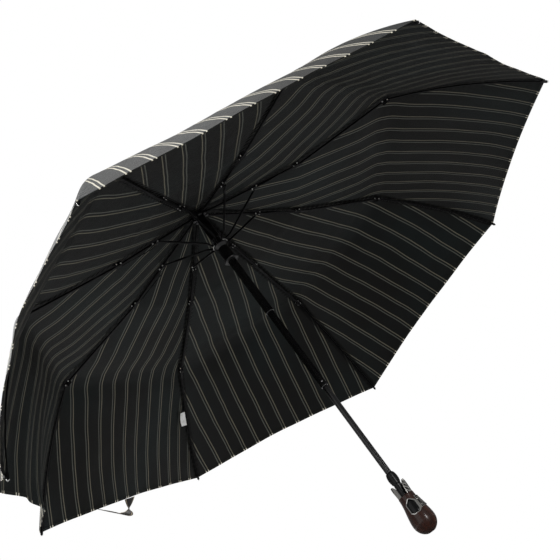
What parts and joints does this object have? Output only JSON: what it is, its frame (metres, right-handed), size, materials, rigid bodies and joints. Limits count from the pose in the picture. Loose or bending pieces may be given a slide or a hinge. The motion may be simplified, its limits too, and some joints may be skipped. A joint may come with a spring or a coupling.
{
  "type": "folding umbrella",
  "caption": "Open three-fold umbrella with eight jointed ribs, a striped dark cloth canopy, a telescopic shaft with a runner, and a bulb-shaped wooden grip with a push button.",
  "frame": {"origin": "centre of the small flat foot at the very end of the wooden grip", "axes": "+Z along the shaft from the grip to the ferrule; +X through rib 1; the ribs follow every 45 degrees counter-clockwise seen from above; the button faces 9 degrees from +X towards +Y"},
  "size_m": [0.9363, 0.9546, 0.575],
  "materials": {
    "rib_steel": "black satin",
    "shaft_paint": "black gloss",
    "black_plastic": "black moulded",
    "bright_steel": "bright wire",
    "chrome_trim": "polished with relief",
    "lacquered_wood": "dark gloss lacquer",
    "canopy_cloth": "dark satin weave with pairs of thin pale stripes",
    "label_cloth": "white woven tape"
  },
  "bodies": {
    "handle": {"grip": "lacquered_wood", "handle_cup": "chrome_trim", "side_ornament": "chrome_trim", "button_bezel": "chrome_trim", "button_spring": "bright_steel", "neck_sleeve": "black_plastic", "neck_collar": "black_plastic", "bottom_tube": "shaft_paint"},
    "button": {"push_button": "black_plastic"},
    "middle_shaft": {"middle_tube": "shaft_paint"},
    "top_shaft": {"top_tube": "shaft_paint", "crown_notch": "black_plastic", "crown_sleeve": "black_plastic", "crown_wire": "bright_steel", "ferrule_cap": "black_plastic", "canopy_panel_1": "canopy_cloth", "canopy_panel_2": "canopy_cloth", "canopy_panel_3": "canopy_cloth", "canopy_panel_4": "canopy_cloth", "canopy_panel_5": "canopy_cloth", "canopy_panel_6": "canopy_cloth", "canopy_panel_7": "canopy_cloth", "canopy_panel_8": "canopy_cloth", "closure_strap": "canopy_cloth", "care_label": "label_cloth"},
    "runner": {"runner": "black_plastic", "runner_wire": "bright_steel"},
    "main_rib_1": {"main_rib_1": "rib_steel"},
    "middle_rib_1": {"middle_rib_1": "rib_steel"},
    "outer_rib_1": {"outer_rib_1": "rib_steel"},
    "stretcher_1": {"stretcher_1": "rib_steel"},
    "main_rib_2": {"main_rib_2": "rib_steel"},
    "middle_rib_2": {"middle_rib_2": "rib_steel"},
    "outer_rib_2": {"outer_rib_2": "rib_steel"},
    "stretcher_2": {"stretcher_2": "rib_steel"},
    "main_rib_3": {"main_rib_3": "rib_steel"},
    "middle_rib_3": {"middle_rib_3": "rib_steel"},
    "outer_rib_3": {"outer_rib_3": "rib_steel"},
    "stretcher_3": {"stretcher_3": "rib_steel"},
    "main_rib_4": {"main_rib_4": "rib_steel"},
    "middle_rib_4": {"middle_rib_4": "rib_steel"},
    "outer_rib_4": {"outer_rib_4": "rib_steel"},
    "stretcher_4": {"stretcher_4": "rib_steel"},
    "main_rib_5": {"main_rib_5": "rib_steel"},
    "middle_rib_5": {"middle_rib_5": "rib_steel"},
    "outer_rib_5": {"outer_rib_5": "rib_steel"},
    "stretcher_5": {"stretcher_5": "rib_steel"},
    "main_rib_6": {"main_rib_6": "rib_steel"},
    "middle_rib_6": {"middle_rib_6": "rib_steel"},
    "outer_rib_6": {"outer_rib_6": "rib_steel"},
    "stretcher_6": {"stretcher_6": "rib_steel"},
    "main_rib_7": {"main_rib_7": "rib_steel"},
    "middle_rib_7": {"middle_rib_7": "rib_steel"},
    "outer_rib_7": {"outer_rib_7": "rib_steel"},
    "stretcher_7": {"stretcher_7": "rib_steel"},
    "main_rib_8": {"main_rib_8": "rib_steel"},
    "middle_rib_8": {"middle_rib_8": "rib_steel"},
    "outer_rib_8": {"outer_rib_8": "rib_steel"},
    "stretcher_8": {"stretcher_8": "rib_steel"}
  },
  "joints": [
    {"name": "shaft_telescope", "type": "slide", "parent": "handle", "child": "middle_shaft", "axis": [0, 0, -1], "range_m": [0, 0.125]},
    {"name": "upper_telescope", "type": "slide", "parent": "middle_shaft", "child": "top_shaft", "axis": [0, 0, -1], "range_m": [0, 0.125]},
    {"name": "runner_slide", "type": "slide", "parent": "top_shaft", "child": "runner", "axis": [0, 0, -1], "range_m": [0, 0.10757], "deforming": ["canopy_panel_1", "canopy_panel_2", "canopy_panel_3", "canopy_panel_4", "canopy_panel_5", "canopy_panel_6", "canopy_panel_7", "canopy_panel_8", "closure_strap", "care_label"]},
    {"name": "button_press", "type": "slide", "parent": "handle", "child": "button", "axis": [-0.9877, -0.1564, 0], "range_m": [0, 0.0018], "stiffness_N_per_m": 400, "deforming": ["button_spring"]},
    {"name": "main_hinge_1", "type": "hinge", "parent": "top_shaft", "child": "main_rib_1", "pos_m": [0.0105, 0, 0.558], "axis": [0, -1, 0], "range_deg": [-70.25, 0]},
    {"name": "knee_hinge_1", "type": "hinge", "parent": "main_rib_1", "child": "middle_rib_1", "pos_m": [0.163, 0, 0.515], "axis": [0, -1, 0], "range_deg": [0, 171.28]},
    {"name": "elbow_hinge_1", "type": "hinge", "parent": "middle_rib_1", "child": "outer_rib_1", "pos_m": [0.316, 0, 0.481], "axis": [0, -1, 0], "range_deg": [-152.34, 0]},
    {"name": "stretcher_hinge_1", "type": "hinge", "parent": "runner", "child": "stretcher_1", "pos_m": [0.0095, 0, 0.498], "axis": [0, -1, 0], "range_deg": [0, 65.11]},
    {"name": "main_hinge_2", "type": "hinge", "parent": "top_shaft", "child": "main_rib_2", "pos_m": [0.00743, 0.00743, 0.558], "axis": [0.7071, -0.7071, 0], "range_deg": [-70.25, 0]},
    {"name": "knee_hinge_2", "type": "hinge", "parent": "main_rib_2", "child": "middle_rib_2", "pos_m": [0.11526, 0.11526, 0.515], "axis": [0.7071, -0.7071, 0], "range_deg": [0, 171.28]},
    {"name": "elbow_hinge_2", "type": "hinge", "parent": "middle_rib_2", "child": "outer_rib_2", "pos_m": [0.22345, 0.22345, 0.481], "axis": [0.7071, -0.7071, 0], "range_deg": [-152.34, 0]},
    {"name": "stretcher_hinge_2", "type": "hinge", "parent": "runner", "child": "stretcher_2", "pos_m": [0.00672, 0.00672, 0.498], "axis": [0.7071, -0.7071, 0], "range_deg": [0, 65.11]},
    {"name": "main_hinge_3", "type": "hinge", "parent": "top_shaft", "child": "main_rib_3", "pos_m": [0, 0.0105, 0.558], "axis": [1, 0, 0], "range_deg": [-70.25, 0]},
    {"name": "knee_hinge_3", "type": "hinge", "parent": "main_rib_3", "child": "middle_rib_3", "pos_m": [0, 0.163, 0.515], "axis": [1, 0, 0], "range_deg": [0, 165.28]},
    {"name": "elbow_hinge_3", "type": "hinge", "parent": "middle_rib_3", "child": "outer_rib_3", "pos_m": [0, 0.31872, 0.49718], "axis": [1, 0, 0], "range_deg": [-144.34, 0]},
    {"name": "stretcher_hinge_3", "type": "hinge", "parent": "runner", "child": "stretcher_3", "pos_m": [0, 0.0095, 0.498], "axis": [1, 0, 0], "range_deg": [0, 65.11]},
    {"name": "main_hinge_4", "type": "hinge", "parent": "top_shaft", "child": "main_rib_4", "pos_m": [-0.00743, 0.00743, 0.558], "axis": [0.7071, 0.7071, 0], "range_deg": [-70.25, 0]},
    {"name": "knee_hinge_4", "type": "hinge", "parent": "main_rib_4", "child": "middle_rib_4", "pos_m": [-0.11526, 0.11526, 0.515], "axis": [0.7071, 0.7071, 0], "range_deg": [0, 168.28]},
    {"name": "elbow_hinge_4", "type": "hinge", "parent": "middle_rib_4", "child": "outer_rib_4", "pos_m": [-0.22456, 0.22456, 0.48905], "axis": [0.7071, 0.7071, 0], "range_deg": [-152.34, 0]},
    {"name": "stretcher_hinge_4", "type": "hinge", "parent": "runner", "child": "stretcher_4", "pos_m": [-0.00672, 0.00672, 0.498], "axis": [0.7071, 0.7071, 0], "range_deg": [0, 65.11]},
    {"name": "main_hinge_5", "type": "hinge", "parent": "top_shaft", "child": "main_rib_5", "pos_m": [-0.0105, 0, 0.558], "axis": [0, 1, 0], "range_deg": [-70.25, 0]},
    {"name": "knee_hinge_5", "type": "hinge", "parent": "main_rib_5", "child": "middle_rib_5", "pos_m": [-0.163, 0, 0.515], "axis": [0, 1, 0], "range_deg": [0, 174.28]},
    {"name": "elbow_hinge_5", "type": "hinge", "parent": "middle_rib_5", "child": "outer_rib_5", "pos_m": [-0.31401, 0, 0.47304], "axis": [0, 1, 0], "range_deg": [-139.34, 0]},
    {"name": "stretcher_hinge_5", "type": "hinge", "parent": "runner", "child": "stretcher_5", "pos_m": [-0.0095, 0, 0.498], "axis": [0, 1, 0], "range_deg": [0, 65.11]},
    {"name": "main_hinge_6", "type": "hinge", "parent": "top_shaft", "child": "main_rib_6", "pos_m": [-0.00743, -0.00743, 0.558], "axis": [-0.7071, 0.7071, 0], "range_deg": [-70.25, 0]},
    {"name": "knee_hinge_6", "type": "hinge", "parent": "main_rib_6", "child": "middle_rib_6", "pos_m": [-0.11526, -0.11526, 0.515], "axis": [-0.7071, 0.7071, 0], "range_deg": [0, 171.28]},
    {"name": "elbow_hinge_6", "type": "hinge", "parent": "middle_rib_6", "child": "outer_rib_6", "pos_m": [-0.22345, -0.22345, 0.481], "axis": [-0.7071, 0.7071, 0], "range_deg": [-152.34, 0]},
    {"name": "stretcher_hinge_6", "type": "hinge", "parent": "runner", "child": "stretcher_6", "pos_m": [-0.00672, -0.00672, 0.498], "axis": [-0.7071, 0.7071, 0], "range_deg": [0, 65.11]},
    {"name": "main_hinge_7", "type": "hinge", "parent": "top_shaft", "child": "main_rib_7", "pos_m": [0, -0.0105, 0.558], "axis": [-1, 0, 0], "range_deg": [-70.25, 0]},
    {"name": "knee_hinge_7", "type": "hinge", "parent": "main_rib_7", "child": "middle_rib_7", "pos_m": [0, -0.163, 0.515], "axis": [-1, 0, 0], "range_deg": [0, 169.28]},
    {"name": "elbow_hinge_7", "type": "hinge", "parent": "middle_rib_7", "child": "outer_rib_7", "pos_m": [0, -0.31709, 0.48636], "axis": [-1, 0, 0], "range_deg": [-140.34, 0]},
    {"name": "stretcher_hinge_7", "type": "hinge", "parent": "runner", "child": "stretcher_7", "pos_m": [0, -0.0095, 0.498], "axis": [-1, 0, 0], "range_deg": [0, 65.11]},
    {"name": "main_hinge_8", "type": "hinge", "parent": "top_shaft", "child": "main_rib_8", "pos_m": [0.00743, -0.00743, 0.558], "axis": [-0.7071, -0.7071, 0], "range_deg": [-70.25, 0]},
    {"name": "knee_hinge_8", "type": "hinge", "parent": "main_rib_8", "child": "middle_rib_8", "pos_m": [0.11526, -0.11526, 0.515], "axis": [-0.7071, -0.7071, 0], "range_deg": [0, 172.28]},
    {"name": "elbow_hinge_8", "type": "hinge", "parent": "middle_rib_8", "child": "outer_rib_8", "pos_m": [0.22301, -0.22301, 0.47834], "axis": [-0.7071, -0.7071, 0], "range_deg": [-128.34, 0]},
    {"name": "stretcher_hinge_8", "type": "hinge", "parent": "runner", "child": "stretcher_8", "pos_m": [0.00672, -0.00672, 0.498], "axis": [-0.7071, -0.7071, 0], "range_deg": [0, 65.11]}
  ],
  "couplings": [
    {"joint": "upper_telescope", "follows": "shaft_telescope", "ratio": 1},
    {"joint": "main_hinge_1", "follows": "runner_slide", "rad_per_m": -11.399},
    {"joint": "knee_hinge_1", "follows": "runner_slide", "rad_per_m": 27.791},
    {"joint": "elbow_hinge_1", "follows": "runner_slide", "rad_per_m": -24.719},
    {"joint": "stretcher_hinge_1", "follows": "runner_slide", "rad_per_m": 10.564},
    {"joint": "main_hinge_2", "follows": "runner_slide", "rad_per_m": -11.399},
    {"joint": "knee_hinge_2", "follows": "runner_slide", "rad_per_m": 27.791},
    {"joint": "elbow_hinge_2", "follows": "runner_slide", "rad_per_m": -24.719},
    {"joint": "stretcher_hinge_2", "follows": "runner_slide", "rad_per_m": 10.564},
    {"joint": "main_hinge_3", "follows": "runner_slide", "rad_per_m": -11.399},
    {"joint": "knee_hinge_3", "follows": "runner_slide", "rad_per_m": 26.818},
    {"joint": "elbow_hinge_3", "follows": "runner_slide", "rad_per_m": -23.421},
    {"joint": "stretcher_hinge_3", "follows": "runner_slide", "rad_per_m": 10.564},
    {"joint": "main_hinge_4", "follows": "runner_slide", "rad_per_m": -11.399},
    {"joint": "knee_hinge_4", "follows": "runner_slide", "rad_per_m": 27.305},
    {"joint": "elbow_hinge_4", "follows": "runner_slide", "rad_per_m": -24.719},
    {"joint": "stretcher_hinge_4", "follows": "runner_slide", "rad_per_m": 10.564},
    {"joint": "main_hinge_5", "follows": "runner_slide", "rad_per_m": -11.399},
    {"joint": "knee_hinge_5", "follows": "runner_slide", "rad_per_m": 28.278},
    {"joint": "elbow_hinge_5", "follows": "runner_slide", "rad_per_m": -22.609},
    {"joint": "stretcher_hinge_5", "follows": "runner_slide", "rad_per_m": 10.564},
    {"joint": "main_hinge_6", "follows": "runner_slide", "rad_per_m": -11.399},
    {"joint": "knee_hinge_6", "follows": "runner_slide", "rad_per_m": 27.791},
    {"joint": "elbow_hinge_6", "follows": "runner_slide", "rad_per_m": -24.719},
    {"joint": "stretcher_hinge_6", "follows": "runner_slide", "rad_per_m": 10.564},
    {"joint": "main_hinge_7", "follows": "runner_slide", "rad_per_m": -11.399},
    {"joint": "knee_hinge_7", "follows": "runner_slide", "rad_per_m": 27.467},
    {"joint": "elbow_hinge_7", "follows": "runner_slide", "rad_per_m": -22.772},
    {"joint": "stretcher_hinge_7", "follows": "runner_slide", "rad_per_m": 10.564},
    {"joint": "main_hinge_8", "follows": "runner_slide", "rad_per_m": -11.399},
    {"joint": "knee_hinge_8", "follows": "runner_slide", "rad_per_m": 27.954},
    {"joint": "elbow_hinge_8", "follows": "runner_slide", "rad_per_m": -20.824},
    {"joint": "stretcher_hinge_8", "follows": "runner_slide", "rad_per_m": 10.564}
  ]
}
